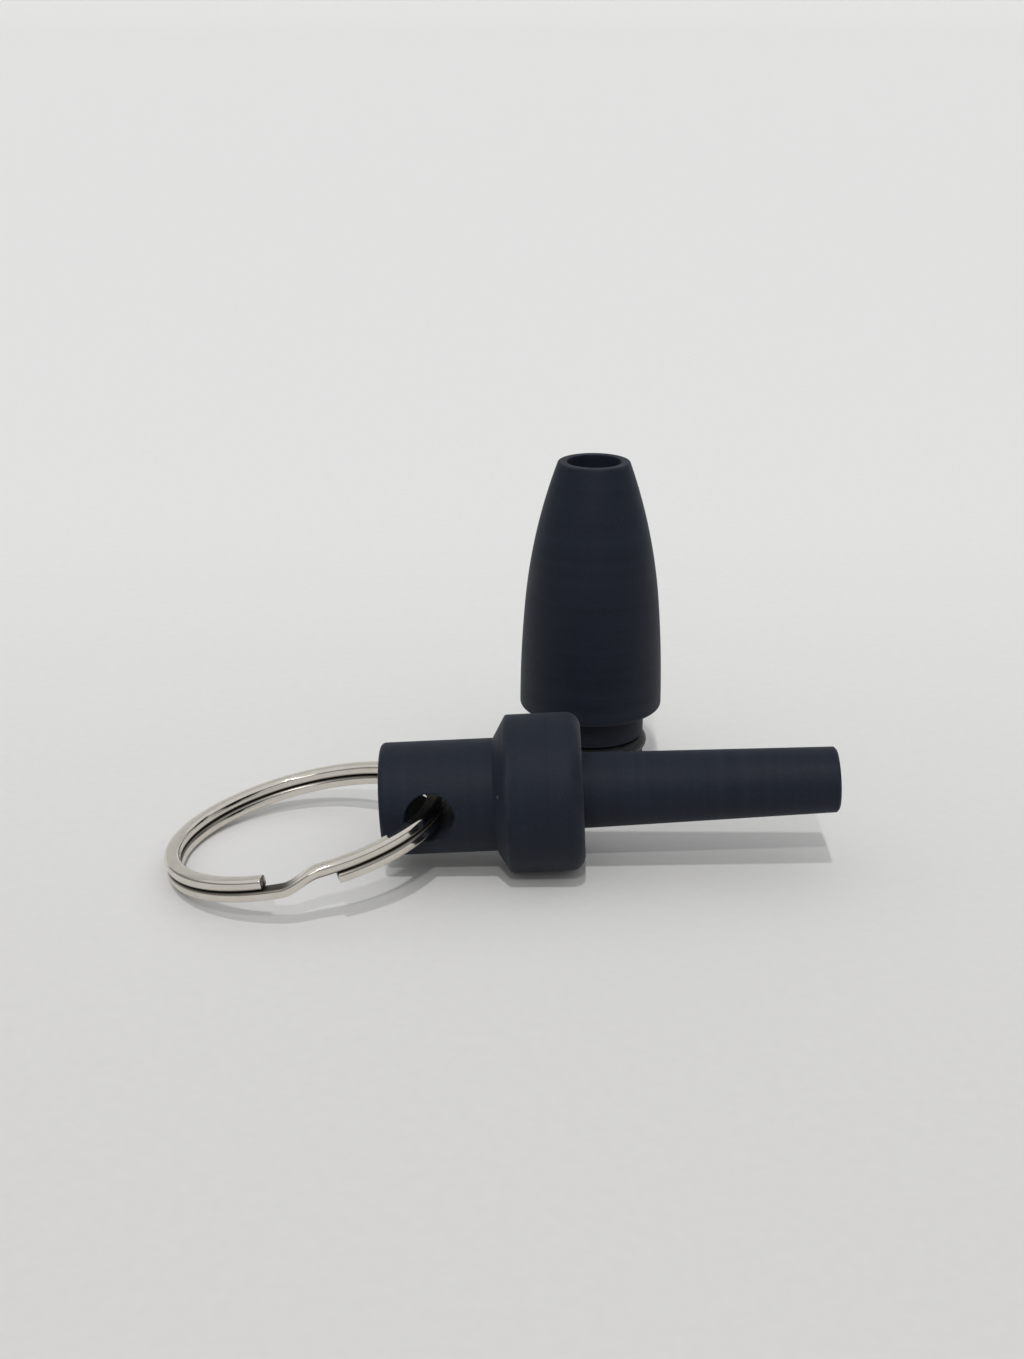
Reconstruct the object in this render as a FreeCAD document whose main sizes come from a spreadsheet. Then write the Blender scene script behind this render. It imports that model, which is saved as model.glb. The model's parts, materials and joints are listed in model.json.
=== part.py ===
import FreeCAD, Part

import math
import os
import Sketcher

# A training whistle on a split ring, with its push-on cover standing beside it.
# Frame: the origin is the centre of the cover's foot, on the table. X runs along
# the whistle towards its mouth end, Y points away from the user, Z is up.

doc = FreeCAD.newDocument("training_whistle")
sheet = doc.addObject("Spreadsheet::Sheet", "Sizes")

SIZES = [
    # where the pieces lie, mm and degrees
    ("whistle_gap", 22.2),         # from the cover's axis to the whistle's axis
    ("collar_face_place", -1.28),  # the collar's open face, along X
    ("whistle_tilt", 3.05),        # the mouth end is lifted by this angle
    # the blow tube, from the collar's open face to its tip
    ("tube_root_dia", 6.7),
    ("tube_tip_dia", 5.8),
    ("tube_reach", 22.4),
    ("tube_bore", 4.3),
    ("tube_edge", 0.2),
    ("window_length", 2.2),
    ("window_width", 3.0),
    ("window_depth", 1.0),
    ("ramp_length", 2.6),
    ("ramp_dip", 0.1),             # the ramp's low end, inside the bore's radius
    ("cutter_past", 0.5),          # how far a cutter's outline runs past the wall
    # the plug that makes the airway, and the stopper that sets the note
    ("airway_length", 6.0),
    ("airway_height", 0.8),
    ("stopper_length", 4.0),
    ("chamber_length", 12.5),
    # the walls round the tube, from the inside out
    ("bore_clearance", 0.15),      # tube in the cover's bore, on the radius
    ("spigot_wall", 1.8),
    ("spigot_clearance", 0.2),     # spigot in the collar's socket, on the radius
    ("collar_wall", 1.5),
    # the holder, turned from one bar
    ("collar_length", 6.6),
    ("cone_length", 1.15),
    ("stub_dia", 10.0),
    ("stub_length", 9.95),
    ("stub_edge", 0.5),
    ("collar_edge", 0.3),
    ("mouth_edge", 1.3),
    ("cross_hole_dia", 4.4),
    ("cross_hole_from_end", 4.35),
    ("cross_hole_edge", 0.12),
    ("hole_web", 0.9),             # left between the tube's seat and the cross hole
    # the cover
    ("spigot_length", 7.1),
    ("spigot_edge", 0.8),          # the bevel on its foot and in the socket's corner
    ("socket_clearance", 0.1),     # between the spigot's foot and the socket's floor
    ("tip_room", 0.4),             # from the tube's tip to the end of the cover's bore
    ("nose_wall", 1.8),            # from there to the nose's rim
    ("nose_rim", 0.39),            # the rim's outside, beyond the radius of the bore's end
    ("nose_lip", 0.3),             # the nose's hole, inside the radius of the tube's tip
    ("nose_edge", 0.22),
    ("belly_length", 10.7),
    ("belly_radius", 122.0),
    ("shoulder_edge", 0.3),
    # its seal
    ("seal_section", 1.5),
    ("seal_stand", 0.35),          # how far the seal stands proud of the spigot
    ("seal_below_shoulder", 3.8),
    ("seal_side_play", 0.2),
    # the split ring, one flat wire wound twice
    ("ring_dia", 25.4),
    ("wire_width", 1.4),
    ("wire_height", 0.98),
    ("wire_corner", 0.35),
    ("turn_gap", 0.04),
    ("crossing_angle", 29.6),
    ("crossing_place", 275.5),
    ("rise_angle", 16.0),          # the part of the crossing that climbs
    ("ring_roll", 2.4),            # its far side lies lower by this angle
    ("ring_past_hole", 1.1),       # its outer edge, past the middle of the cross hole
    ("ring_drop", 0.5),            # its middle line, below the middle of the cross hole
    ("ring_near", 0.2),            # its middle, nearer than the whistle's axis
]
for row, (alias, value) in enumerate(SIZES, start=1):
    sheet.set("A%d" % row, alias)
    sheet.set("B%d" % row, str(value))
    sheet.setAlias("B%d" % row, alias)
doc.recompute()


# ---------------------------------------------------------------- shared steps

SAME_PLACE = 1e-4  # mm, two places this near are one
EDGE_SLACK = 0.01  # mm, left round the box of an edge that is looked for

reckoner = doc.addObject("App::FeaturePython", "Reckoner")
reckoner.addProperty("App::PropertyFloat", "Answer")


def size(text):
    """The number that an expression on the sheet gives now."""
    reckoner.setExpression("Answer", text)
    reckoner.recompute()
    return reckoner.Answer


def new_body(name):
    """A body whose name and label are the sub-part's node name."""
    body = doc.addObject("PartDesign::Body", name)
    body.Label = name
    return body


def sketch_on(body, name, role):
    """A sketch on one of the body's own origin planes."""
    plane = next(f for f in body.Origin.OriginFeatures if f.Role == role)
    sketch = body.newObject("Sketcher::SketchObject", name)
    sketch.AttachmentSupport = (plane, [""])
    sketch.MapMode = "FlatFace"
    return sketch


def hold(sketch, geometry, end, axis, text):
    """Ties one coordinate of a point to an expression, or to the axis where it is 0."""
    if text == "0":
        line = -2 if axis == "X" else -1
        sketch.addConstraint(Sketcher.Constraint("PointOnObject", geometry, end, line))
        return
    kind = "Distance" + axis
    index = sketch.addConstraint(
        Sketcher.Constraint(kind, -1, 1, geometry, end, size(text)))
    sketch.setExpression("Constraints[%d]" % index, text)


def outline(sketch, corners, arcs=()):
    """Draws a closed outline through corners given as pairs of expressions.

    arcs maps a corner's index to the radius of the arc that leaves it; such an arc
    bulges away from the outline's first corner.
    """
    arcs = dict(arcs)
    points = [FreeCAD.Vector(size(x), size(y), 0) for x, y in corners]
    count = len(points)
    starts = []
    for i, start in enumerate(points):
        end = points[(i + 1) % count]
        if i in arcs:
            radius = size(arcs[i])
            chord = end - start
            rise = math.sqrt(radius ** 2 - (chord.Length / 2) ** 2)
            across = FreeCAD.Vector(-chord.y, chord.x, 0).normalize()
            centre = (start + end) / 2 + across * rise
            first = math.atan2(start.y - centre.y, start.x - centre.x)
            last = math.atan2(end.y - centre.y, end.x - centre.x)
            circle = Part.Circle(centre, FreeCAD.Vector(0, 0, 1), radius)
            starts.append(sketch.addGeometry(Part.ArcOfCircle(circle, first, last)))
        else:
            starts.append(sketch.addGeometry(Part.LineSegment(start, end)))
    for i in range(count):
        following = starts[(i + 1) % count]
        sketch.addConstraint(Sketcher.Constraint("Coincident", starts[i], 2, following, 1))
    for i, (x, y) in enumerate(corners):
        hold(sketch, starts[i], 1, "X", x)
        hold(sketch, starts[i], 1, "Y", y)
    for i, radius in arcs.items():
        index = sketch.addConstraint(
            Sketcher.Constraint("Radius", starts[i], size(radius)))
        sketch.setExpression("Constraints[%d]" % index, radius)


def disc(sketch, x, y, radius):
    """Draws a circle whose centre and radius are expressions."""
    centre = FreeCAD.Vector(size(x), size(y), 0)
    circle = Part.Circle(centre, FreeCAD.Vector(0, 0, 1), size(radius))
    geometry = sketch.addGeometry(circle)
    hold(sketch, geometry, 3, "X", x)
    hold(sketch, geometry, 3, "Y", y)
    index = sketch.addConstraint(Sketcher.Constraint("Radius", geometry, size(radius)))
    sketch.setExpression("Constraints[%d]" % index, radius)


def turned(body, name, sketch, axis):
    """Turns a sketch through a full circle about one of its own axes."""
    feature = body.newObject("PartDesign::Revolution", name)
    feature.Profile = sketch
    feature.ReferenceAxis = (sketch, [axis])
    feature.Angle = 360.0
    sketch.Visibility = False
    doc.recompute()
    return feature


def cut_across(body, name, sketch, width=None):
    """Cuts a sketch both ways from its plane, right through or to a width."""
    before = body.Shape.Volume
    feature = body.newObject("PartDesign::Pocket", name)
    feature.Profile = sketch
    feature.SideType = "Symmetric"
    if width is None:
        feature.Type = "ThroughAll"
    else:
        feature.Type = "Length"
        feature.setExpression("Length", width)
    sketch.Visibility = False
    doc.recompute()
    if body.Shape.Volume >= before:
        raise RuntimeError("%s cuts nothing" % name)
    return feature


def ease(body, kind, name, amount, wanted):
    """Rounds (Fillet) or bevels (Chamfer) the edges that wanted(edge) picks."""
    base = body.Tip
    names = ["Edge%d" % i for i, e in enumerate(base.Shape.Edges, 1) if wanted(e)]
    if not names:
        raise RuntimeError("%s finds no edge" % name)
    feature = body.newObject("PartDesign::" + kind, name)
    feature.Base = (base, names)
    feature.setExpression("Radius" if kind == "Fillet" else "Size", amount)
    doc.recompute()
    return feature


def ring_edge(axis, place, radius):
    """A test for the full round edge at a place along an axis, with a radius."""
    def wanted(edge):
        curve = edge.Curve
        if not isinstance(curve, Part.Circle):
            return False
        along = abs(getattr(curve.Center, axis) - size(place))
        return along < SAME_PLACE and abs(curve.Radius - size(radius)) < SAME_PLACE
    return wanted


# ------------------------------------------------- where the whistle lies

# The collar's rounded rear edge rests on the table, so the height of the whistle's
# axis at the collar's open face follows from the tilt and the collar.
SPIGOT_RADIUS = "(Sizes.tube_root_dia / 2 + Sizes.bore_clearance + Sizes.spigot_wall)"
SOCKET_RADIUS = "(%s + Sizes.spigot_clearance)" % SPIGOT_RADIUS
COLLAR_RADIUS = "(%s + Sizes.collar_wall)" % SOCKET_RADIUS
CONE_TURN = "atan((%s - Sizes.stub_dia / 2) / Sizes.cone_length)" % COLLAR_RADIUS
AXIS_HEIGHT = (
    "(Sizes.collar_length - Sizes.collar_edge * tan(%s / 2)) * sin(Sizes.whistle_tilt)"
    " + (%s - Sizes.collar_edge) * cos(Sizes.whistle_tilt)"
    " + Sizes.collar_edge" % (CONE_TURN, COLLAR_RADIUS))


def lay_in_whistle(piece):
    """Places a piece drawn along the whistle's own axis, with X towards the mouth end."""
    lift = FreeCAD.Rotation(FreeCAD.Vector(0, -1, 0), size("Sizes.whistle_tilt"))
    piece.Placement = FreeCAD.Placement(FreeCAD.Vector(), lift)
    piece.setExpression("Placement.Base.x", "Sizes.collar_face_place")
    piece.setExpression("Placement.Base.y", "-Sizes.whistle_gap")
    piece.setExpression("Placement.Base.z", AXIS_HEIGHT)
    piece.setExpression("Placement.Rotation.Angle", "Sizes.whistle_tilt")


# ---------------------------------------------------------------- the holder

# The socket takes the cover's spigot, and the bore beyond it grips the blow tube.
SOCKET_DEPTH = "(Sizes.spigot_length + Sizes.socket_clearance)"
HOLDER_END = "(Sizes.collar_length + Sizes.cone_length + Sizes.stub_length)"
HOLE_PLACE = "(Sizes.cross_hole_from_end - %s)" % HOLDER_END
TUBE_SEAT = "(%s + Sizes.cross_hole_dia / 2 + Sizes.hole_web)" % HOLE_PLACE


def make_ring_holder():
    """Collar, cone and stub in one turned piece, with a hole across for the split ring."""
    body = new_body("ring_holder")
    sketch = sketch_on(body, "HolderOutline", "XY_Plane")
    outline(sketch, [
        ("-" + HOLDER_END, "0"),
        ("-" + HOLDER_END, "Sizes.stub_dia / 2"),
        ("-Sizes.collar_length - Sizes.cone_length", "Sizes.stub_dia / 2"),
        ("-Sizes.collar_length", COLLAR_RADIUS),
        ("0", COLLAR_RADIUS),
        ("0", SOCKET_RADIUS),
        ("Sizes.spigot_edge - " + SOCKET_DEPTH, SOCKET_RADIUS),
        ("-" + SOCKET_DEPTH, SOCKET_RADIUS + " - Sizes.spigot_edge"),
        ("-" + SOCKET_DEPTH, "Sizes.tube_root_dia / 2"),
        (TUBE_SEAT, "Sizes.tube_root_dia / 2"),
        (TUBE_SEAT, "0"),
    ])
    turned(body, "HolderTurned", sketch, "H_Axis")
    ease(body, "Fillet", "MouthEdge", "Sizes.mouth_edge",
         ring_edge("x", "0", COLLAR_RADIUS))
    ease(body, "Fillet", "CollarEdge", "Sizes.collar_edge",
         ring_edge("x", "-Sizes.collar_length", COLLAR_RADIUS))
    ease(body, "Fillet", "StubEdge", "Sizes.stub_edge",
         ring_edge("x", "-" + HOLDER_END, "Sizes.stub_dia / 2"))
    across = sketch_on(body, "CrossHole", "XZ_Plane")
    disc(across, HOLE_PLACE, "0", "Sizes.cross_hole_dia / 2")
    cut_across(body, "CrossHoleDrilled", across)

    def hole_mouth(edge):
        box = edge.BoundBox
        across_hole = size("Sizes.cross_hole_dia")
        reach = across_hole / 2 + EDGE_SLACK
        middle = size(HOLE_PLACE)
        near = abs(box.XMin - middle) < reach and abs(box.XMax - middle) < reach
        return near and abs(box.XLength - across_hole) < EDGE_SLACK
    ease(body, "Fillet", "CrossHoleEdge", "Sizes.cross_hole_edge", hole_mouth)
    lay_in_whistle(body)


# ---------------------------------------------------------------- the blow tube

WINDOW_START = "(Sizes.tube_reach - Sizes.airway_length)"


def make_blow_tube():
    """A tapered tube with a bore right through and a sound window on its far side."""
    body = new_body("blow_tube")
    sketch = sketch_on(body, "TubeOutline", "XY_Plane")
    outline(sketch, [
        (TUBE_SEAT, "Sizes.tube_bore / 2"),
        (TUBE_SEAT, "Sizes.tube_root_dia / 2"),
        ("0", "Sizes.tube_root_dia / 2"),
        ("Sizes.tube_reach", "Sizes.tube_tip_dia / 2"),
        ("Sizes.tube_reach", "Sizes.tube_bore / 2"),
    ])
    turned(body, "TubeTurned", sketch, "H_Axis")
    ease(body, "Chamfer", "TubeTipEdge", "Sizes.tube_edge",
         ring_edge("x", "Sizes.tube_reach", "Sizes.tube_tip_dia / 2"))
    window = sketch_on(body, "Window", "XY_Plane")
    inside = "Sizes.tube_bore / 2 - Sizes.window_depth"
    outside = "Sizes.tube_root_dia / 2 + Sizes.cutter_past"
    lip = "%s - Sizes.window_length" % WINDOW_START
    outline(window, [
        (WINDOW_START, inside),
        (WINDOW_START, outside),
        (lip + " - Sizes.ramp_length", outside),
        (lip, "Sizes.tube_bore / 2 - Sizes.ramp_dip"),
        (lip, inside),
    ])
    cut_across(body, "WindowMilled", window, "Sizes.window_width")
    lay_in_whistle(body)


def make_airway_plug():
    """A plug in the tube's mouth end, with a flat that leaves the airway beside it."""
    body = new_body("airway_plug")
    sketch = sketch_on(body, "PlugOutline", "XY_Plane")
    outline(sketch, [
        (WINDOW_START, "0"),
        (WINDOW_START, "Sizes.tube_bore / 2"),
        ("Sizes.tube_reach", "Sizes.tube_bore / 2"),
        ("Sizes.tube_reach", "0"),
    ])
    turned(body, "PlugTurned", sketch, "H_Axis")
    flat = sketch_on(body, "AirwayFlat", "XY_Plane")
    bottom = "Sizes.tube_bore / 2 - Sizes.airway_height"
    top = "Sizes.tube_bore / 2 + Sizes.cutter_past"
    start = WINDOW_START + " - Sizes.cutter_past"
    end = "Sizes.tube_reach + Sizes.cutter_past"
    outline(flat, [(start, bottom), (start, top), (end, top), (end, bottom)])
    cut_across(body, "AirwayMilled", flat)
    lay_in_whistle(body)


def make_pitch_stopper():
    """The stopper that closes the tube's bore at the length that sets the note."""
    body = new_body("pitch_stopper")
    face = "(%s - Sizes.chamber_length)" % WINDOW_START
    sketch = sketch_on(body, "StopperOutline", "XY_Plane")
    outline(sketch, [
        (face + " - Sizes.stopper_length", "0"),
        (face + " - Sizes.stopper_length", "Sizes.tube_bore / 2"),
        (face, "Sizes.tube_bore / 2"),
        (face, "0"),
    ])
    turned(body, "StopperTurned", sketch, "H_Axis")
    lay_in_whistle(body)


# ---------------------------------------------------------------- the cover

# Pushed on, the cover's shoulder meets the collar's open face, so its bore follows the
# tube: straight through the spigot, then tapered to the tube's tip.
BORE_RADIUS = "(Sizes.tube_root_dia / 2 + Sizes.bore_clearance)"
BORE_END = "(Sizes.spigot_length + Sizes.tube_reach + Sizes.tip_room)"
BORE_END_RADIUS = "(Sizes.tube_tip_dia / 2 + Sizes.bore_clearance)"
COVER_TOP = "(%s + Sizes.nose_wall)" % BORE_END
RIM_RADIUS = "(%s + Sizes.nose_rim)" % BORE_END_RADIUS
NOSE_HOLE_RADIUS = "(Sizes.tube_tip_dia / 2 - Sizes.nose_lip)"
SEAL_HEIGHT = "(Sizes.spigot_length - Sizes.seal_below_shoulder)"
SEAL_RADIUS = "(%s + Sizes.seal_stand - Sizes.seal_section / 2)" % SPIGOT_RADIUS
GROOVE_RADIUS = SEAL_RADIUS + " - Sizes.seal_section / 2"
GROOVE_HALF = "(Sizes.seal_section / 2 + Sizes.seal_side_play)"

# The belly's arc leaves the shoulder upright, and the nose's tighter arc leaves the
# belly's at the same slope and ends on the rim, which sets its radius.
BELLY_END = ("(%s - Sizes.belly_radius + sqrt(Sizes.belly_radius^2 - Sizes.belly_length^2))"
             % COLLAR_RADIUS)
BELLY_SINE = "(Sizes.belly_length / Sizes.belly_radius)"
NOSE_HEIGHT = "(%s - Sizes.spigot_length - Sizes.belly_length)" % COVER_TOP
NOSE_IN = "(%s - %s)" % (BELLY_END, RIM_RADIUS)
NOSE_RADIUS = ("((%s^2 + %s^2) / 2 / (%s * sqrt(1 - %s^2) - %s * %s))"
               % (NOSE_IN, NOSE_HEIGHT, NOSE_IN, BELLY_SINE, NOSE_HEIGHT, BELLY_SINE))


def make_cover():
    """The bullet-shaped cover, nose up, on the spigot that pushes into the collar."""
    body = new_body("cover")
    sketch = sketch_on(body, "CoverOutline", "XZ_Plane")
    outline(sketch, [
        (BORE_RADIUS, "0"),
        (SPIGOT_RADIUS, "0"),
        (SPIGOT_RADIUS, "%s - %s" % (SEAL_HEIGHT, GROOVE_HALF)),
        (GROOVE_RADIUS, "%s - %s" % (SEAL_HEIGHT, GROOVE_HALF)),
        (GROOVE_RADIUS, "%s + %s" % (SEAL_HEIGHT, GROOVE_HALF)),
        (SPIGOT_RADIUS, "%s + %s" % (SEAL_HEIGHT, GROOVE_HALF)),
        (SPIGOT_RADIUS, "Sizes.spigot_length"),
        (COLLAR_RADIUS, "Sizes.spigot_length"),
        (BELLY_END, "Sizes.spigot_length + Sizes.belly_length"),
        (RIM_RADIUS, COVER_TOP),
        (NOSE_HOLE_RADIUS, COVER_TOP),
        (NOSE_HOLE_RADIUS, BORE_END),
        (BORE_END_RADIUS, BORE_END),
        (BORE_RADIUS, "Sizes.spigot_length"),
    ], {7: "Sizes.belly_radius", 8: NOSE_RADIUS})
    turned(body, "CoverTurned", sketch, "V_Axis")
    ease(body, "Fillet", "RimEdge", "Sizes.nose_edge", ring_edge("z", COVER_TOP, RIM_RADIUS))
    ease(body, "Fillet", "ShoulderEdge", "Sizes.shoulder_edge",
         ring_edge("z", "Sizes.spigot_length", COLLAR_RADIUS))
    ease(body, "Chamfer", "SpigotEdge", "Sizes.spigot_edge",
         ring_edge("z", "0", SPIGOT_RADIUS))


def make_cover_seal():
    """The rubber ring in the spigot's groove."""
    seal = doc.addObject("Part::Torus", "cover_seal_ring")
    seal.Label = "cover_seal_ring"
    seal.setExpression("Radius1", SEAL_RADIUS)
    seal.setExpression("Radius2", "Sizes.seal_section / 2")
    seal.setExpression("Placement.Base.z", SEAL_HEIGHT)


# ---------------------------------------------------------------- the split ring

# The height at which the ring's middle line passes through the cross hole.
PASS_HEIGHT = ("(%s + %s * sin(Sizes.whistle_tilt) - Sizes.ring_drop)"
               % (AXIS_HEIGHT, HOLE_PLACE))
RING_TO_HOLE = "(Sizes.ring_dia / 2 - Sizes.ring_past_hole)"
TILT_HALVINGS = 60
CROSSING_STEPS = 14


def ring_tilt():
    """The tilt, in degrees, at which the ring's rounded lower edge just meets the table.

    The edge lies under the ring's centre by (reach) * sin(lean) + (half height) *
    cos(lean) + (wire corner), where lean is the angle of the ring's axis from upright.
    """
    corner = size("Sizes.wire_corner")
    reach = size("Sizes.ring_dia") / 2 - corner
    half = size("Sizes.wire_height + Sizes.turn_gap / 2") - corner
    roll = math.radians(size("Sizes.ring_roll"))
    low, high = 0.0, math.pi / 2
    for _ in range(TILT_HALVINGS):
        tilt = (low + high) / 2
        lean = math.acos(math.cos(tilt) * math.cos(roll))
        centre = size(PASS_HEIGHT) - size(RING_TO_HOLE) * math.sin(tilt)
        if centre > reach * math.sin(lean) + half * math.cos(lean) + corner:
            low = tilt
        else:
            high = tilt
    return math.degrees(low)


def wire_section(angle, lift):
    """The wire's rounded flat section, standing at an angle round the ring, lifted."""
    width = size("Sizes.wire_width")
    height = size("Sizes.wire_height")
    corner = size("Sizes.wire_corner")
    middle = size("Sizes.ring_dia") / 2 - width / 2
    turn = FreeCAD.Rotation(FreeCAD.Vector(0, 0, 1), angle)

    def point(across, up):
        return turn.multVec(FreeCAD.Vector(middle + across, 0, lift + up))

    edges = []
    ends = []
    for quarter in range(4):
        side = math.radians(90 * quarter + 45)
        centre_x = math.copysign(width / 2 - corner, math.cos(side))
        centre_z = math.copysign(height / 2 - corner, math.sin(side))
        round_points = []
        for step in (-45, 0, 45):
            aim = side + math.radians(step)
            round_points.append(point(centre_x + corner * math.cos(aim),
                                      centre_z + corner * math.sin(aim)))
        edges.append(Part.Arc(*round_points).toShape())
        ends.append((round_points[0], round_points[2]))
    for quarter in range(4):
        edges.append(Part.makeLine(ends[quarter][1], ends[(quarter + 1) % 4][0]))
    return Part.Wire(Part.__sortEdges__(edges))


def make_split_ring():
    """Two flat turns of one wire, joined by the slanted crossing between its cut ends."""
    crossing = size("Sizes.crossing_angle")
    first = size("Sizes.crossing_place") + crossing / 2
    layer = (size("Sizes.wire_height") + size("Sizes.turn_gap")) / 2
    turn = 360.0 - crossing
    axis = FreeCAD.Vector(0, 0, 1)
    lower = Part.Face(wire_section(first, -layer)).revolve(FreeCAD.Vector(), axis, turn)
    upper = Part.Face(wire_section(first, layer)).revolve(FreeCAD.Vector(), axis, turn)
    rise_angle = size("Sizes.rise_angle")
    sections = []
    for step in range(CROSSING_STEPS + 1):
        angle = crossing * (step / CROSSING_STEPS - 0.5)
        share = min(max(angle / rise_angle + 0.5, 0.0), 1.0)
        rise = share * share * (3 - 2 * share)
        place = first - crossing / 2 + angle
        sections.append(wire_section(place, layer * (2 * rise - 1)))
    slant = Part.makeLoft(sections, True, False)
    ring = doc.addObject("Part::Feature", "split_ring")
    ring.Label = "split_ring"
    ring.Shape = lower.fuse([slant, upper])
    lift = FreeCAD.Rotation(FreeCAD.Vector(0, -1, 0), ring_tilt())
    roll = FreeCAD.Rotation(FreeCAD.Vector(-1, 0, 0), size("Sizes.ring_roll"))
    level = lift * roll
    passing = FreeCAD.Vector(
        size("Sizes.collar_face_place + %s * cos(Sizes.whistle_tilt)" % HOLE_PLACE),
        -size("Sizes.whistle_gap + Sizes.ring_near"),
        size(PASS_HEIGHT))
    inward = level.multVec(FreeCAD.Vector(-size(RING_TO_HOLE), 0, 0))
    ring.Placement = FreeCAD.Placement(passing + inward, level)


# ---------------------------------------------------------------- build and write

make_ring_holder()
make_blow_tube()
make_airway_plug()
make_pitch_stopper()
make_cover()
make_cover_seal()
make_split_ring()
doc.removeObject("Reckoner")
doc.recompute()

NODES = [
    "ring_holder",
    "blow_tube",
    "airway_plug",
    "pitch_stopper",
    "cover",
    "cover_seal_ring",
    "split_ring",
]
for thing in doc.Objects:
    if "Invalid" in thing.State or "Error" in thing.State:
        raise RuntimeError("%s failed: %s" % (thing.Name, thing.State))
for node in NODES:
    shape = doc.getObject(node).Shape
    if shape.isNull() or not shape.isValid():
        raise RuntimeError("%s has no valid shape" % node)
    if len(shape.Solids) != 1:
        raise RuntimeError("%s is %d solids" % (node, len(shape.Solids)))
os.makedirs("parts", exist_ok=True)
for node in NODES:
    doc.getObject(node).Shape.exportStep("parts/%s.step" % node)
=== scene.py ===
import json
import math

import bmesh
import bpy
import numpy as np
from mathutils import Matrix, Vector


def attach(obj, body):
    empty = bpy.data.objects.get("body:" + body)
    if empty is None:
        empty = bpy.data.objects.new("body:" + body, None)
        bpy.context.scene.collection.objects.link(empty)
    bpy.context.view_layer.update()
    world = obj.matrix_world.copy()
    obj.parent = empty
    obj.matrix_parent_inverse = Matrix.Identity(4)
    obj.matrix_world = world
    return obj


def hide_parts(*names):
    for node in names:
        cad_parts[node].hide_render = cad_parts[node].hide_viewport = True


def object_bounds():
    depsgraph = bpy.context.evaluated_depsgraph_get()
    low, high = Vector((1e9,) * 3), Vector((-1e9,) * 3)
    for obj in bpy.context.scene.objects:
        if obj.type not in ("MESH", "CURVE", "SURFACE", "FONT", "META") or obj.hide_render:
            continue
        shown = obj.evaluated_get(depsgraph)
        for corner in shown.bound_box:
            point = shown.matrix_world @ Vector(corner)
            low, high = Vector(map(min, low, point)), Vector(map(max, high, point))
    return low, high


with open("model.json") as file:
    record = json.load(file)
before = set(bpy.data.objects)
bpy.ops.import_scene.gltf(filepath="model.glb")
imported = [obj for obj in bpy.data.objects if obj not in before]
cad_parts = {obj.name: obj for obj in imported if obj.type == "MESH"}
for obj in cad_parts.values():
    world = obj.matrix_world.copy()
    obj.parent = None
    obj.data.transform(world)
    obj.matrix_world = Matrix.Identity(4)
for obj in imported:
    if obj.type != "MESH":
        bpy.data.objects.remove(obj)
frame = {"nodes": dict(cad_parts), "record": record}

MM = 0.001
cad_low, cad_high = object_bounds()


# ---------------------------------------------------------------- camera
# A camera held a little above the table, looking slightly down at the set.
# Its place is counted from the middle of the cover's foot, the frame's origin.
CAMERA_PLACE = np.array([-5.66, -167.894, 72.476]) * MM
CAMERA_DIP = math.radians(20.58)
CAMERA_TURN = math.radians(0.74)

camera_data = bpy.data.cameras.new("camera")
camera_data.lens = 47.68
camera_data.sensor_width = 36.0
camera_data.clip_start = 0.005
camera_data.clip_end = 20.0
camera = bpy.data.objects.new("camera", camera_data)
camera.location = CAMERA_PLACE
camera.rotation_euler = (math.pi / 2 - CAMERA_DIP, 0.0, CAMERA_TURN)
bpy.context.scene.collection.objects.link(camera)
bpy.context.scene.camera = camera


# ---------------------------------------------------------------- the card under the set
# A sheet of pale matte card lies under the set and curves up far behind it.
# It is painted a little greyer in front of the set than behind it, as painted shade where the
# light falls off towards the front.
CARD_SHADED_NEAR_COLOUR = (0.645, 0.637, 0.628, 1)
CARD_FAR_COLOUR = (0.735, 0.735, 0.727, 1)
CARD_GREY_FROM = -0.085
CARD_GREY_TO = 0.105
CARD_HALF_WIDTH = 6.0
CARD_FRONT = -2.5
CARD_BEND_START = 5.0
CARD_BEND_RADIUS = 1.5
CARD_TOP = 3.0
CARD_BEND_STEPS = 24


def put(tree, kind, inputs=None, **settings):
    """Adds a node with its own settings, and sets each input to a value or a link."""
    node = tree.nodes.new(kind)
    for name, value in settings.items():
        setattr(node, name, value)
    for name, value in (inputs or {}).items():
        if isinstance(value, bpy.types.NodeSocket):
            tree.links.new(value, node.inputs[name])
        else:
            node.inputs[name].default_value = value
    return node


def blend_colours(tree, share, first, second):
    """A colour that goes from the first to the second as share goes from 0 to 1."""
    mix = put(tree, "ShaderNodeMix", data_type="RGBA")
    for index, value in ((0, share), (6, first), (7, second)):
        if isinstance(value, bpy.types.NodeSocket):
            tree.links.new(value, mix.inputs[index])
        else:
            mix.inputs[index].default_value = value
    return mix.outputs[2]


def new_material(name):
    """A node material with its Principled shader, ready to be wired."""
    material = bpy.data.materials.new(name)
    material.use_nodes = True
    tree = material.node_tree
    return material, tree, tree.nodes["Principled BSDF"]


def surface_mesh(name, points, wrap_rows, wrap_columns):
    """A mesh from a grid of points, with one quad between neighbours.

    The last row or column is joined to the first where the grid wraps round.
    """
    rows, columns = points.shape[:2]
    index = np.arange(rows * columns).reshape(rows, columns)
    if wrap_rows:
        index = np.concatenate([index, index[:1]], axis=0)
    if wrap_columns:
        index = np.concatenate([index, index[:, :1]], axis=1)
    quads = np.stack([index[:-1, :-1], index[:-1, 1:], index[1:, 1:], index[1:, :-1]], -1)
    mesh = bpy.data.meshes.new(name)
    mesh.from_pydata(points.reshape(-1, 3).tolist(), [], quads.reshape(-1, 4).tolist())
    mesh.shade_smooth()
    return mesh


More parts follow.
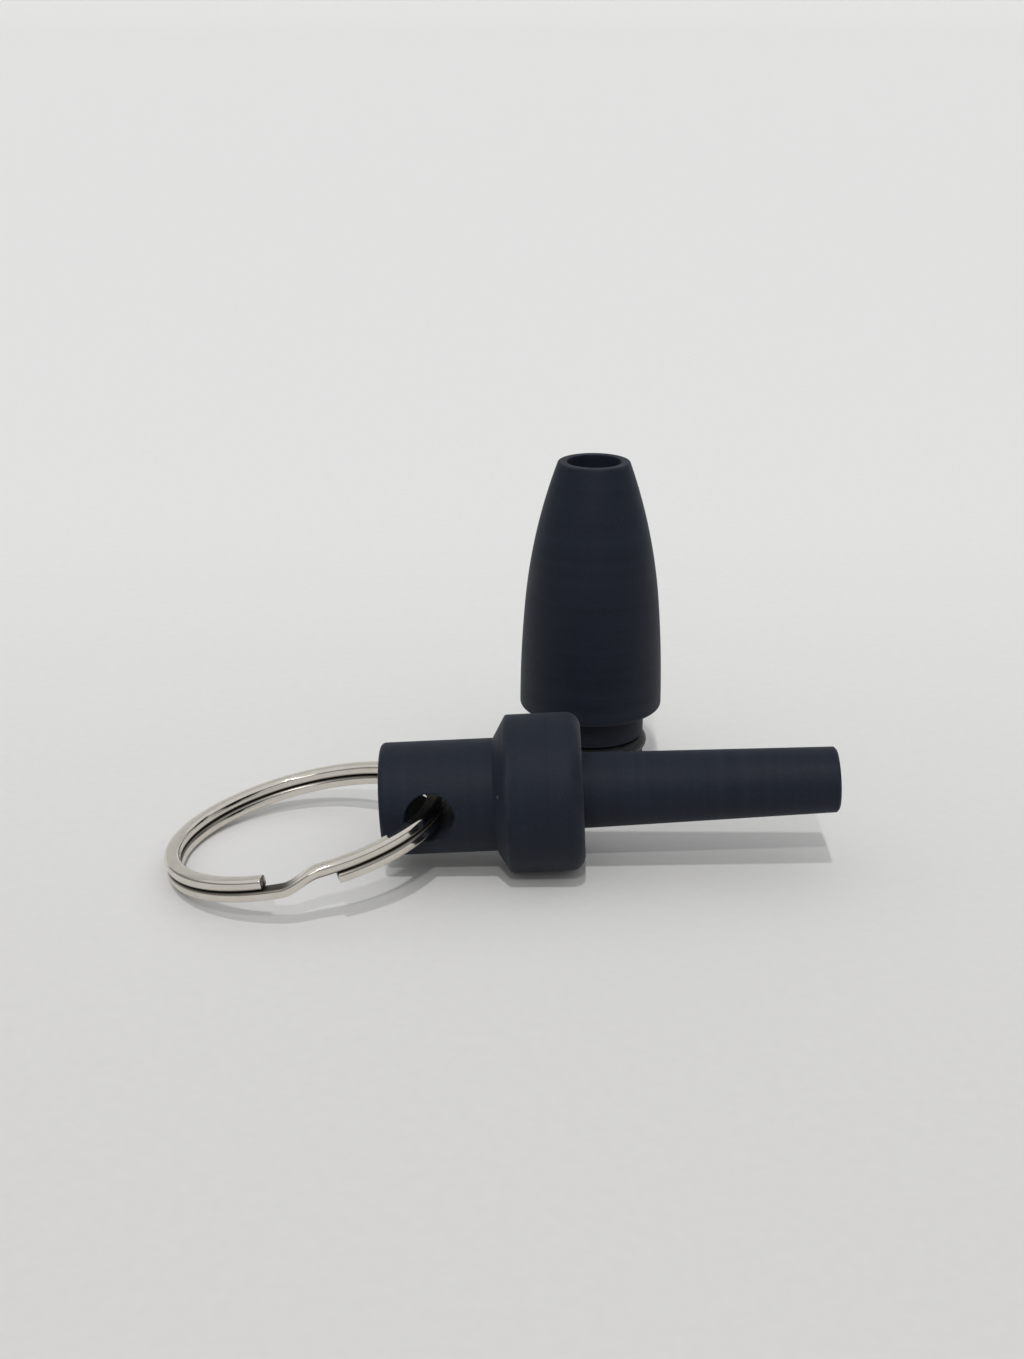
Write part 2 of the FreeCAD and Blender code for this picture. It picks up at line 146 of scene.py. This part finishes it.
def card_mesh():
    """A flat strip, then a quarter circle, then a straight rise, swept along X."""
    turn = np.linspace(0, math.pi / 2, CARD_BEND_STEPS)
    bend = np.stack([CARD_BEND_START + CARD_BEND_RADIUS * np.sin(turn),
                     CARD_BEND_RADIUS * (1 - np.cos(turn))], -1)
    front = np.array([[CARD_FRONT, 0.0]])
    rise = np.array([[CARD_BEND_START + CARD_BEND_RADIUS, CARD_TOP]])
    line = np.concatenate([front, bend, rise])
    across = np.array([-CARD_HALF_WIDTH, CARD_HALF_WIDTH])
    points = np.zeros((2, len(line), 3))
    points[:, :, 0] = across[:, None]
    points[:, :, 1:] = line
    return surface_mesh("card", points, False, False)


def card_paper():
    """Matte paper: painted shade as a slow change of grey from front to back, and a faint
    tooth.
    """
    material, tree, shader = new_material("card_paper")
    place = put(tree, "ShaderNodeTexCoord").outputs["Object"]
    parts = put(tree, "ShaderNodeSeparateXYZ", {"Vector": place})
    # painted shade: the paper's colour darkens from the back towards the front
    share = put(tree, "ShaderNodeMapRange", {
        "Value": parts.outputs["Y"], "From Min": CARD_GREY_FROM, "From Max": CARD_GREY_TO},
        interpolation_type="SMOOTHSTEP")
    paper = blend_colours(tree, share.outputs["Result"], CARD_SHADED_NEAR_COLOUR, CARD_FAR_COLOUR)
    tooth = put(tree, "ShaderNodeTexNoise", {"Vector": place, "Scale": 900.0, "Detail": 3.0})
    fleck = put(tree, "ShaderNodeMapRange", {
        "Value": tooth.outputs["Fac"], "From Min": 0.2, "From Max": 0.8, "To Max": 0.06})
    tinted = blend_colours(tree, fleck.outputs["Result"], paper, (0.3, 0.3, 0.3, 1))
    tree.links.new(tinted, shader.inputs["Base Color"])
    bump = put(tree, "ShaderNodeBump", {"Height": tooth.outputs["Fac"], "Distance": 0.00002})
    tree.links.new(bump.outputs["Normal"], shader.inputs["Normal"])
    shader.inputs["Roughness"].default_value = 0.9
    shader.inputs["Specular IOR Level"].default_value = 0.1
    return material


card = bpy.data.objects.new("card", card_mesh())
bpy.context.scene.collection.objects.link(card)
card.data.materials.append(card_paper())


# ---------------------------------------------------------------- light
# Two soft lamps overhead, both a little in front of the set, a faint one low in front,
# and a pale room that is dimmer low down, so that bright metal has something to show.
ROOM_BRIGHT = 0.76
ROOM_DIM = 0.24
ROOM_DIM_BELOW = 0.25
ROOM_BRIGHT_ABOVE = 0.60
ROOM_COLOUR = (0.985, 0.995, 1.0, 1)
LAMP_COLOUR = (1.0, 0.996, 0.99)

world = bpy.data.worlds.new("room")
world.use_nodes = True
bpy.context.scene.world = world
room = world.node_tree
way = put(room, "ShaderNodeTexCoord").outputs["Generated"]
height = put(room, "ShaderNodeSeparateXYZ", {"Vector": way})
level = put(room, "ShaderNodeMapRange", {
    "Value": height.outputs["Z"], "From Min": ROOM_DIM_BELOW, "From Max": ROOM_BRIGHT_ABOVE,
    "To Min": ROOM_DIM, "To Max": ROOM_BRIGHT}, interpolation_type="SMOOTHSTEP")
room.nodes["Background"].inputs["Color"].default_value = ROOM_COLOUR
room.links.new(level.outputs["Result"], room.nodes["Background"].inputs["Strength"])


def distant_lamp(name, lean, sideways, strength, softness):
    """A soft lamp far away: lean and sideways turn it from straight down, in degrees."""
    data = bpy.data.lights.new(name, "SUN")
    data.energy = strength
    data.angle = math.radians(softness)
    data.color = LAMP_COLOUR
    lamp = bpy.data.objects.new(name, data)
    lamp.rotation_euler = (math.radians(lean), math.radians(sideways), 0.0)
    bpy.context.scene.collection.objects.link(lamp)


distant_lamp("main_lamp", lean=24.5, sideways=-1.5, strength=0.84, softness=2.5)
distant_lamp("front_lamp", lean=43.0, sideways=-1.5, strength=0.50, softness=2.5)
distant_lamp("fill_lamp", lean=66.0, sideways=-10.0, strength=0.14, softness=20.0)
bpy.context.scene.view_settings.view_transform = "Standard"


# ---------------------------------------------------------------- the ring holder
# Collar, cone and stub turned in one piece from black acetal bar, with a deep socket in
# the collar and a hole drilled across the stub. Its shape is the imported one.
record = frame["record"]
joints = {joint["name"]: joint for joint in record["behaviour"]["joints"]}
WHISTLE_TILT = math.radians(3.05)
HOLE_CENTRE = np.array(joints["ring_swing"]["pos_m"])
COLLAR_FACE = 13.35 * MM       # from the cross hole to the collar's open face
COLLAR_LENGTH = 6.6 * MM
HOLDER_LENGTH = 17.7 * MM
ACETAL_DARK = (0.0066, 0.0094, 0.0168, 1)
ACETAL_LIGHT = (0.0104, 0.0144, 0.0240, 1)
ACETAL_WORN = (0.024, 0.028, 0.036, 1)
DUST_COLOUR = (0.20, 0.20, 0.19, 1)
WEAR_SHARE = 0.45
BAND_SHARE = 0.3
SPECK_SHARE = 0.45
CLOUD_SHARE = 0.25


def new_group(name, inputs, outputs):
    """An empty node group with named sockets, and its input and output nodes."""
    group = bpy.data.node_groups.new(name, "ShaderNodeTree")
    for title, kind, value in inputs:
        socket = group.interface.new_socket(name=title, in_out="INPUT", socket_type=kind)
        if value is not None:
            socket.default_value = value
    for title, kind in outputs:
        group.interface.new_socket(name=title, in_out="OUTPUT", socket_type=kind)
    return group, put(group, "NodeGroupInput"), put(group, "NodeGroupOutput")


def reckon(tree, operation, first, second=0.0):
    """One step of arithmetic on two numbers or sockets."""
    step = put(tree, "ShaderNodeMath", {0: first, 1: second}, operation=operation)
    return step.outputs["Value"]


def make_tool_marks():
    """Fine rings left by the lathe: noise that changes only along and across the axis.

    The sum of the distance along the axis and the distance from it feeds a fine and a
    coarse one-way noise, so turned walls and faced ends both get rings.
    """
    group, start, finish = new_group(
        "tool_marks",
        [("Vector", "NodeSocketVector", None), ("Pitch", "NodeSocketFloat", 9000.0)],
        [("Height", "NodeSocketFloat"), ("Shade", "NodeSocketFloat")])
    parts = put(group, "ShaderNodeSeparateXYZ", {"Vector": start.outputs["Vector"]})
    square = reckon(group, "MULTIPLY", parts.outputs["Y"], parts.outputs["Y"])
    other = reckon(group, "MULTIPLY", parts.outputs["Z"], parts.outputs["Z"])
    radius = reckon(group, "SQRT", reckon(group, "ADD", square, other))
    along = reckon(group, "ADD", parts.outputs["X"], radius)
    fine = put(group, "ShaderNodeTexNoise", {
        "W": reckon(group, "MULTIPLY", along, start.outputs["Pitch"]),
        "Scale": 1.0, "Detail": 2.0}, noise_dimensions="1D")
    coarse = put(group, "ShaderNodeTexNoise", {
        "W": along, "Scale": 900.0, "Detail": 2.0}, noise_dimensions="1D")
    group.links.new(fine.outputs["Fac"], finish.inputs["Height"])
    group.links.new(coarse.outputs["Fac"], finish.inputs["Shade"])
    return group


def make_edge_wear():
    """A rubbed band round an edge at one place along the axis, broken up by noise."""
    group, start, finish = new_group(
        "edge_wear",
        [("Vector", "NodeSocketVector", None), ("Place", "NodeSocketFloat", 0.0),
         ("Width", "NodeSocketFloat", 0.0004)],
        [("Mask", "NodeSocketFloat")])
    parts = put(group, "ShaderNodeSeparateXYZ", {"Vector": start.outputs["Vector"]})
    off = reckon(group, "ABSOLUTE", reckon(
        group, "SUBTRACT", parts.outputs["X"], start.outputs["Place"]))
    near = put(group, "ShaderNodeMapRange", {
        "Value": off, "From Min": start.outputs["Width"], "From Max": 0.0},
        interpolation_type="SMOOTHSTEP")
    patchy = put(group, "ShaderNodeTexNoise", {
        "Vector": start.outputs["Vector"], "Scale": 700.0, "Detail": 3.0})
    kept = put(group, "ShaderNodeMapRange", {
        "Value": patchy.outputs["Fac"], "From Min": 0.35, "From Max": 0.65})
    mask = reckon(group, "MULTIPLY", near.outputs["Result"], kept.outputs["Result"])
    group.links.new(mask, finish.inputs["Mask"])
    return group


def make_dust():
    """Sparse pale specks: the middles of a few cells of a coarse cell pattern."""
    group, start, finish = new_group(
        "dust",
        [("Vector", "NodeSocketVector", None), ("Cells", "NodeSocketFloat", 420.0),
         ("Rarity", "NodeSocketFloat", 0.93)],
        [("Mask", "NodeSocketFloat")])
    cells = put(group, "ShaderNodeTexVoronoi", {
        "Vector": start.outputs["Vector"], "Scale": start.outputs["Cells"]})
    chosen = put(group, "ShaderNodeSeparateColor", {"Color": cells.outputs["Color"]})
    picked = reckon(group, "GREATER_THAN", chosen.outputs["Red"], start.outputs["Rarity"])
    close = put(group, "ShaderNodeMapRange", {
        "Value": cells.outputs["Distance"], "From Min": 0.10, "From Max": 0.03})
    mask = reckon(group, "MULTIPLY", close.outputs["Result"], picked)
    group.links.new(mask, finish.inputs["Mask"])
    return group


TOOL_MARKS = make_tool_marks()
EDGE_WEAR = make_edge_wear()
DUST = make_dust()


def turned_acetal(name, origin, turn, worn_edges, pitch=9000.0, roughness=(0.56, 0.66)):
    """Black acetal off the lathe, on coordinates with X along the piece's own axis.

    origin and turn say where that axis lies, worn_edges where along it the rubbed edges
    are, each with its half width.
    """
    material, tree, shader = new_material(name)
    place = put(tree, "ShaderNodeTexCoord").outputs["Object"]
    own = put(tree, "ShaderNodeMapping", {
        "Vector": place, "Location": tuple(origin), "Rotation": turn},
        vector_type="TEXTURE").outputs["Vector"]
    marks = put(tree, "ShaderNodeGroup", node_tree=TOOL_MARKS)
    tree.links.new(own, marks.inputs["Vector"])
    marks.inputs["Pitch"].default_value = pitch
    cloud = put(tree, "ShaderNodeTexNoise", {"Vector": own, "Scale": 260.0, "Detail": 4.0})
    mottle = put(tree, "ShaderNodeTexNoise", {"Vector": own, "Scale": 5200.0, "Detail": 2.0})
    banded = reckon(tree, "MULTIPLY", marks.outputs["Shade"], BAND_SHARE)
    specked = reckon(tree, "MULTIPLY", mottle.outputs["Fac"], SPECK_SHARE)
    clouded = reckon(tree, "MULTIPLY", cloud.outputs["Fac"], CLOUD_SHARE)
    share = reckon(tree, "ADD", reckon(tree, "ADD", banded, specked), clouded)
    spread = put(tree, "ShaderNodeMapRange", {
        "Value": share, "From Min": 0.36, "From Max": 0.64})
    colour = blend_colours(tree, spread.outputs["Result"], ACETAL_DARK, ACETAL_LIGHT)
    for edge, width in worn_edges:
        band = put(tree, "ShaderNodeGroup", node_tree=EDGE_WEAR)
        tree.links.new(own, band.inputs["Vector"])
        band.inputs["Place"].default_value = edge
        band.inputs["Width"].default_value = width
        rubbed = reckon(tree, "MULTIPLY", band.outputs["Mask"], WEAR_SHARE)
        colour = blend_colours(tree, rubbed, colour, ACETAL_WORN)
    dust = put(tree, "ShaderNodeGroup", node_tree=DUST)
    tree.links.new(own, dust.inputs["Vector"])
    colour = blend_colours(tree, dust.outputs["Mask"], colour, DUST_COLOUR)
    tree.links.new(colour, shader.inputs["Base Color"])
    gloss = put(tree, "ShaderNodeMapRange", {
        "Value": cloud.outputs["Fac"], "From Min": 0.3, "From Max": 0.7,
        "To Min": roughness[0], "To Max": roughness[1]})
    tree.links.new(gloss.outputs["Result"], shader.inputs["Roughness"])
    rings = put(tree, "ShaderNodeBump", {
        "Height": marks.outputs["Height"], "Strength": 0.25, "Distance": 0.00002})
    grain = put(tree, "ShaderNodeBump", {
        "Height": mottle.outputs["Fac"], "Strength": 0.25, "Distance": 0.00001,
        "Normal": rings.outputs["Normal"]})
    tree.links.new(grain.outputs["Normal"], shader.inputs["Normal"])
    shader.inputs["Specular IOR Level"].default_value = 0.15
    shader.inputs["Sheen Weight"].default_value = 0.03
    shader.inputs["Sheen Roughness"].default_value = 0.5
    shader.inputs["Sheen Tint"].default_value = (0.8, 0.9, 1.0, 1)
    return material


def finish_node(name, material):
    """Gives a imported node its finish."""
    slots = frame["nodes"][name].data.materials
    slots.clear()
    slots.append(material)


along_whistle = np.array([math.cos(WHISTLE_TILT), 0.0, math.sin(WHISTLE_TILT)])
whistle_origin = HOLE_CENTRE + along_whistle * COLLAR_FACE
whistle_turn = (0.0, -WHISTLE_TILT, 0.0)
finish_node("ring_holder", turned_acetal(
    "holder_acetal", whistle_origin, whistle_turn,
    [(0.0, 0.0014), (-COLLAR_LENGTH, 0.0004), (-HOLDER_LENGTH, 0.0006)]))


# ---------------------------------------------------------------- the blow tube
# A slim tapered tube of the same acetal, pressed into the holder. Air from its tip runs
# through the plug's flat and over the lip of the window in its far side.
TUBE_REACH = 22.4 * MM
finish_node("blow_tube", turned_acetal(
    "tube_acetal", whistle_origin, whistle_turn, [(TUBE_REACH, 0.0005)], pitch=11000.0))


# ---------------------------------------------------------------- the plug and the stopper
# Two short plugs of acetal pressed into the tube's bore: one leaves the airway beside its
# flat, the other closes the bore and sets the note. Both are turned more coarsely.
plug_acetal = turned_acetal(
    "plug_acetal", whistle_origin, whistle_turn, [(TUBE_REACH, 0.0003)],
    pitch=5000.0, roughness=(0.6, 0.75))
finish_node("airway_plug", plug_acetal)
finish_node("pitch_stopper", plug_acetal)


# ---------------------------------------------------------------- the cover
# A bullet-shaped cap of black acetal, bored through, standing on the spigot that pushes
# into the collar. Its edges are eased on the lathe. The sizes of the pieces from here on
# are in millimetres, and each mesh is brought to metres as it is made.
COVER_TOP = cad_high[2] / MM
SHOULDER = 7.1
FOOT_RADIUS = 5.3
BODY_RADIUS = 7.0
BELLY_LENGTH = 10.7
BELLY_RADIUS = 122.0
RIM_RADIUS = 3.44
NOSE_HOLE = 2.6
NOSE_WALL = 1.8
BORE_FOOT = 3.5
BORE_TOP = 3.05
GROOVE_RADIUS = 4.15
GROOVE_LOW = 2.35
GROOVE_HIGH = 4.25
FOOT_BEVEL = 0.8
FINE_EASE = 0.1
EDGE_EASE = 0.12
SOFT_EASE = 0.15
SHOULDER_EASE = 0.32
RIM_EASE = 0.24
STEP_EASE = 0.05
BELLY_STEPS = 14
NOSE_STEPS = 22
EASE_STEPS = 7
GUARD_MOST = 0.05
GUARD_SHARE = 0.3
TURNS = 192


def eased_outline(corners):
    """A closed outline with each corner of given radius replaced by a round.

    corners holds x, y and radius. A round starts and ends where it touches both sides,
    at radius / tan(half the angle between the sides) from the corner. A guard point a
    little outside each end of the round keeps the flat beside it flat.
    """
    points = []
    count = len(corners)
    for i, (x, y, radius) in enumerate(corners):
        here = np.array([x, y])
        if radius == 0.0:
            points.append(here[None])
            continue
        back = np.array(corners[i - 1][:2]) - here
        ahead = np.array(corners[(i + 1) % count][:2]) - here
        back /= np.linalg.norm(back)
        ahead /= np.linalg.norm(ahead)
        half_angle = math.acos(float(np.clip(back @ ahead, -1, 1))) / 2
        touch = radius / math.tan(half_angle)
        middle = back + ahead
        centre = here + middle / np.linalg.norm(middle) * radius / math.sin(half_angle)
        first = here + back * touch - centre
        last = here + ahead * touch - centre
        sweep = math.pi - 2 * half_angle
        share = np.linspace(0, 1, EASE_STEPS)[:, None]
        arc = (np.sin((1 - share) * sweep) * first + np.sin(share * sweep) * last)
        arc = centre + arc / math.sin(sweep)
        guard = min(GUARD_MOST, GUARD_SHARE * radius)
        before = here + back * (touch + guard)
        after = here + ahead * (touch + guard)
        points.append(np.concatenate([before[None], arc, after[None]]))
    return np.concatenate(points)


def lathe_mesh(name, outline):
    """A closed outline of radius and height, in millimetres, turned round Z."""
    turn = np.linspace(0, 2 * math.pi, TURNS, endpoint=False)[:, None]
    radius = outline[None, :, 0]
    points = np.stack([radius * np.cos(turn), radius * np.sin(turn),
                       np.broadcast_to(outline[None, :, 1], (TURNS, len(outline)))], -1)
    return surface_mesh(name, points * MM, True, True)


def faces_outward(mesh):
    """Turns the faces over if the volume they close, summed as cones, is negative."""
    corners = np.empty(len(mesh.vertices) * 3, dtype=np.float64)
    mesh.vertices.foreach_get("co", corners)
    corners = corners.reshape(-1, 3)
    mesh.calc_loop_triangles()
    index = np.empty(len(mesh.loop_triangles) * 3, dtype=np.int32)
    mesh.loop_triangles.foreach_get("vertices", index)
    a, b, c = (corners[index.reshape(-1, 3)[:, k]] for k in range(3))
    if np.einsum("ij,ij->i", a, np.cross(b, c)).sum() < 0:
        mesh.flip_normals()


def cover_outline():
    """Up the outside, over the nose and down the bore.

    The belly's arc leaves the shoulder upright. The nose's arc leaves it at the same
    slope and ends on the rim, which sets its radius.
    """
    belly_rise = np.linspace(0, BELLY_LENGTH, BELLY_STEPS)
    belly = BODY_RADIUS - BELLY_RADIUS + np.sqrt(BELLY_RADIUS ** 2 - belly_rise ** 2)
    sine = BELLY_LENGTH / BELLY_RADIUS
    cosine = math.sqrt(1 - sine ** 2)
    inward = belly[-1] - RIM_RADIUS
    upward = COVER_TOP - SHOULDER - BELLY_LENGTH
    nose_radius = (inward ** 2 + upward ** 2) / 2 / (inward * cosine - upward * sine)
    nose_rise = np.linspace(0, upward, NOSE_STEPS)[1:-1]
    nose = (belly[-1] - nose_radius * cosine
            + np.sqrt(nose_radius ** 2 - (nose_rise + nose_radius * sine) ** 2))
    corners = [
        (BORE_FOOT, 0.0, SOFT_EASE),
        (FOOT_RADIUS - FOOT_BEVEL, 0.0, EDGE_EASE),
        (FOOT_RADIUS, FOOT_BEVEL, EDGE_EASE),
        (FOOT_RADIUS, GROOVE_LOW, FINE_EASE),
        (GROOVE_RADIUS, GROOVE_LOW, SOFT_EASE),
        (GROOVE_RADIUS, GROOVE_HIGH, SOFT_EASE),
        (FOOT_RADIUS, GROOVE_HIGH, FINE_EASE),
        (FOOT_RADIUS, SHOULDER, EDGE_EASE),
        (BODY_RADIUS, SHOULDER, SHOULDER_EASE)]
    corners += [(r, SHOULDER + z, 0.0) for r, z in zip(belly[1:], belly_rise[1:])]
    corners += [(r, SHOULDER + BELLY_LENGTH + z, 0.0) for r, z in zip(nose, nose_rise)]
    corners += [
        (RIM_RADIUS, COVER_TOP, RIM_EASE),
        (NOSE_HOLE, COVER_TOP, EDGE_EASE),
        (NOSE_HOLE, COVER_TOP - NOSE_WALL, STEP_EASE),
        (BORE_TOP, COVER_TOP - NOSE_WALL, FINE_EASE),
        (BORE_FOOT, SHOULDER, 0.0)]
    return eased_outline(corners)


def add_piece(name, mesh, body, node, material):
    """Links a finished mesh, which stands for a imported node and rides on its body."""
    faces_outward(mesh)
    mesh.materials.append(material)
    piece = bpy.data.objects.new(name, mesh)
    bpy.context.scene.collection.objects.link(piece)
    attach(piece, body)
    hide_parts(node)


upright = (0.0, -math.pi / 2, 0.0)
cover_acetal = turned_acetal(
    "cover_acetal", (0.0, 0.0, 0.0), upright,
    [(COVER_TOP * MM, 0.0004), (SHOULDER * MM, 0.0004), (0.0, 0.0008)])
add_piece("cover_shell", lathe_mesh("cover_shell", cover_outline()),
          "cover", "cover", cover_acetal)


# ---------------------------------------------------------------- the cover's seal
# A ring of black nitrile rubber in the spigot's groove, moulded in two halves, so a fine
# flash line runs round its outside. It grips the collar's socket.
SEAL_MIDDLE = 4.9
SEAL_HEIGHT = 3.3
SEAL_HALF = 0.75
SEAL_STEPS = 48
FLASH_HEIGHT = 0.02
FLASH_SPREAD = 0.06            # radians round the section
RUBBER_DARK = (0.006, 0.0065, 0.0075, 1)
RUBBER_BLOOM = (0.016, 0.017, 0.019, 1)


def seal_mesh():
    """A circle turned round Z, with a low ridge where its two moulded halves met."""
    section = np.linspace(0, 2 * math.pi, SEAL_STEPS, endpoint=False)
    from_seam = np.minimum(section, 2 * math.pi - section)
    flash = FLASH_HEIGHT * np.exp(-(from_seam / FLASH_SPREAD) ** 2)
    outline = np.stack([SEAL_MIDDLE + (SEAL_HALF + flash) * np.cos(section),
                        SEAL_HEIGHT + SEAL_HALF * np.sin(section)], -1)
    return lathe_mesh("seal", outline)


def seal_rubber():
    """Black rubber with a dull bloom, a little shine where grease is left."""
    material, tree, shader = new_material("seal_rubber")
    place = put(tree, "ShaderNodeTexCoord").outputs["Object"]
    bloom = put(tree, "ShaderNodeTexNoise", {"Vector": place, "Scale": 900.0, "Detail": 5.0})
    spread = put(tree, "ShaderNodeMapRange", {
        "Value": bloom.outputs["Fac"], "From Min": 0.35, "From Max": 0.7})
    colour = blend_colours(tree, spread.outputs["Result"], RUBBER_DARK, RUBBER_BLOOM)
    tree.links.new(colour, shader.inputs["Base Color"])
    gloss = put(tree, "ShaderNodeMapRange", {
        "Value": bloom.outputs["Fac"], "To Min": 0.35, "To Max": 0.6})
    tree.links.new(gloss.outputs["Result"], shader.inputs["Roughness"])
    bump = put(tree, "ShaderNodeBump", {
        "Height": bloom.outputs["Fac"], "Strength": 0.3, "Distance": 0.00002})
    tree.links.new(bump.outputs["Normal"], shader.inputs["Normal"])
    shader.inputs["Specular IOR Level"].default_value = 0.3
    return material


add_piece("cover_seal", seal_mesh(), "cover", "cover_seal_ring", seal_rubber())


# ---------------------------------------------------------------- the split ring
# Nearly two turns of nickel-plated spring wire, flat on the faces that meet, with blunt
# sheared ends. Between the ends the wire crosses from the lower turn to the upper one.
RING_RADIUS = 12.7
WIRE_WIDTH = 1.4
WIRE_HEIGHT = 0.98
WIRE_CORNER = 0.35
TURN_GAP = 0.04
CROSSING = math.radians(29.6)
CROSSING_END = math.radians(290.3)
RISE = math.radians(16.0)
END_ROUND = 0.08
WINDING_STEPS = 800
END_STEPS = 5
END_SPACING = 1.5              # from a tip to the next section, in rounds of its end
CORNER_STEPS = 9
SEAM_FROM = 0.35               # share of the half height where the painted shade and grime start
SEAM_SPREAD = 0.5
SEAM_SHADE_AND_GRIME = 0.95
NICKEL_BRIGHT = (0.78, 0.74, 0.68, 1)
NICKEL_HAZY = (0.62, 0.575, 0.51, 1)
SEAM_SHADE_AND_DIRT = (0.035, 0.028, 0.022, 1)


def wire_section(steps):
    """A rounded rectangle: a circle's points pushed out from the corners' centres."""
    turn = (np.arange(4 * steps) + 0.5) * math.pi / 2 / steps
    across = np.sign(np.cos(turn)) * (WIRE_WIDTH / 2 - WIRE_CORNER) + WIRE_CORNER * np.cos(turn)
    up = np.sign(np.sin(turn)) * (WIRE_HEIGHT / 2 - WIRE_CORNER) + WIRE_CORNER * np.sin(turn)
    return across, up


def split_ring_mesh():
    """The wire's section carried along both turns, in the ring's own plane.

    The middle line is a circle whose height is minus half a layer for the first turn,
    plus half a layer for the second, and a smooth step between them inside the crossing.
    The section shrinks over the last few hundredths at each end, and closes on a point.
    The second result is 1 where the turns face each other and at the two tips, and 0 away from
    there. It places painted shade between the turns, with some grime.
    """
    layer = (WIRE_HEIGHT + TURN_GAP) / 2
    first_turn = 2 * math.pi - CROSSING
    whole = 2 * math.pi + first_turn
    tip = END_ROUND / RING_RADIUS
    quarter = np.linspace(0, math.pi / 2, END_STEPS)
    rounds = 1 - np.cos(quarter)
    spacing = tip * END_SPACING
    winding = np.linspace(spacing, whole - spacing, WINDING_STEPS)
    angle = np.concatenate([tip * rounds, winding, whole - tip * rounds[::-1]])
    shrink = np.ones(len(angle))
    shrink[:END_STEPS] = 1 - (1 - np.sin(quarter)) * END_ROUND / WIRE_HEIGHT * 2
    shrink[-END_STEPS:] = shrink[:END_STEPS][::-1]
    share = np.clip((angle - first_turn - CROSSING / 2) / RISE + 0.5, 0, 1)
    height = layer * (2 * share * share * (3 - 2 * share) - 1)
    across, up = wire_section(CORNER_STEPS)
    middle = RING_RADIUS - WIRE_WIDTH / 2
    radius = middle + shrink[:, None] * across[None, :]
    turn = CROSSING_END + angle
    local = np.stack([radius * np.cos(turn)[:, None], radius * np.sin(turn)[:, None],
                      height[:, None] + shrink[:, None] * up[None, :]], -1)
    cap = local[[0, -1]].mean(axis=1, keepdims=True)
    caps = np.broadcast_to(cap, (2, local.shape[1], 3))
    local = np.concatenate([caps[:1], local, caps[1:]])
    toward_other = -np.sign(height)[:, None] * up[None, :] / (WIRE_HEIGHT / 2)
    seam = np.clip((toward_other - SEAM_FROM) / SEAM_SPREAD, 0, 1)
    seam = seam * (np.abs(height) / layer)[:, None]
    # the two tip points are darkened fully
    darkened_tips = np.ones_like(seam[:1])
    return local, np.concatenate([darkened_tips, seam, darkened_tips])


def lay_ring(local):
    """Carries points from the ring's own plane to where the ring hangs in its hole."""
    mount = next(m for m in record["mounts"] if m["name"] == "split_ring_loop")
    up = np.array(mount["axis"])
    up /= np.linalg.norm(up)
    forward = np.cross((0.0, 1.0, 0.0), up)
    forward /= np.linalg.norm(forward)
    side = np.cross(up, forward)
    return np.array(mount["pos_m"]) + MM * (local @ np.stack([forward, side, up]))


def bright_nickel():
    """Bright plating with an uneven haze, fine pits, and painted shade with some grime where
    the turns meet.
    """
    material, tree, shader = new_material("bright_nickel")
    place = put(tree, "ShaderNodeTexCoord").outputs["Object"]
    # painted shade between the turns, with some grime: the seam values darken the plating's
    # colour and dull its shine
    seam_shade_and_grime = put(tree, "ShaderNodeAttribute", attribute_name="seam").outputs["Fac"]
    haze = put(tree, "ShaderNodeTexNoise", {"Vector": place, "Scale": 650.0, "Detail": 5.0})
    tone = blend_colours(tree, haze.outputs["Fac"], NICKEL_BRIGHT, NICKEL_HAZY)
    seam_darkening = reckon(tree, "MULTIPLY", seam_shade_and_grime, SEAM_SHADE_AND_GRIME)
    colour = blend_colours(tree, seam_darkening, tone, SEAM_SHADE_AND_DIRT)
    tree.links.new(colour, shader.inputs["Base Color"])
    shine = put(tree, "ShaderNodeMapRange", {
        "Value": haze.outputs["Fac"], "From Min": 0.3, "From Max": 0.7,
        "To Min": 0.06, "To Max": 0.13})
    dulled = reckon(tree, "ADD", shine.outputs["Result"], reckon(tree, "MULTIPLY", seam_shade_and_grime, 0.4))
    tree.links.new(dulled, shader.inputs["Roughness"])
    pits = put(tree, "ShaderNodeTexNoise", {"Vector": place, "Scale": 2600.0, "Detail": 2.0})
    bump = put(tree, "ShaderNodeBump", {
        "Height": pits.outputs["Fac"], "Strength": 0.04, "Distance": 0.00001})
    tree.links.new(bump.outputs["Normal"], shader.inputs["Normal"])
    shader.inputs["Metallic"].default_value = 1.0
    return material


def store_values(mesh, title, values):
    """Keeps one number per vertex under a name that a material can read."""
    layer = mesh.attributes.new(title, "FLOAT", "POINT")
    layer.data.foreach_set("value", np.asarray(values, dtype=np.float32))


def close_ends(mesh):
    """Merges the points that lie in one place, so that each end is a fan of triangles."""
    work = bmesh.new()
    work.from_mesh(mesh)
    bmesh.ops.remove_doubles(work, verts=work.verts, dist=1e-8)
    work.to_mesh(mesh)
    work.free()


ring_local, ring_seam = split_ring_mesh()
ring_mesh = surface_mesh("wound_ring", lay_ring(ring_local), False, True)
store_values(ring_mesh, "seam", ring_seam.ravel())
close_ends(ring_mesh)
add_piece("wound_ring", ring_mesh, "ring", "split_ring", bright_nickel())
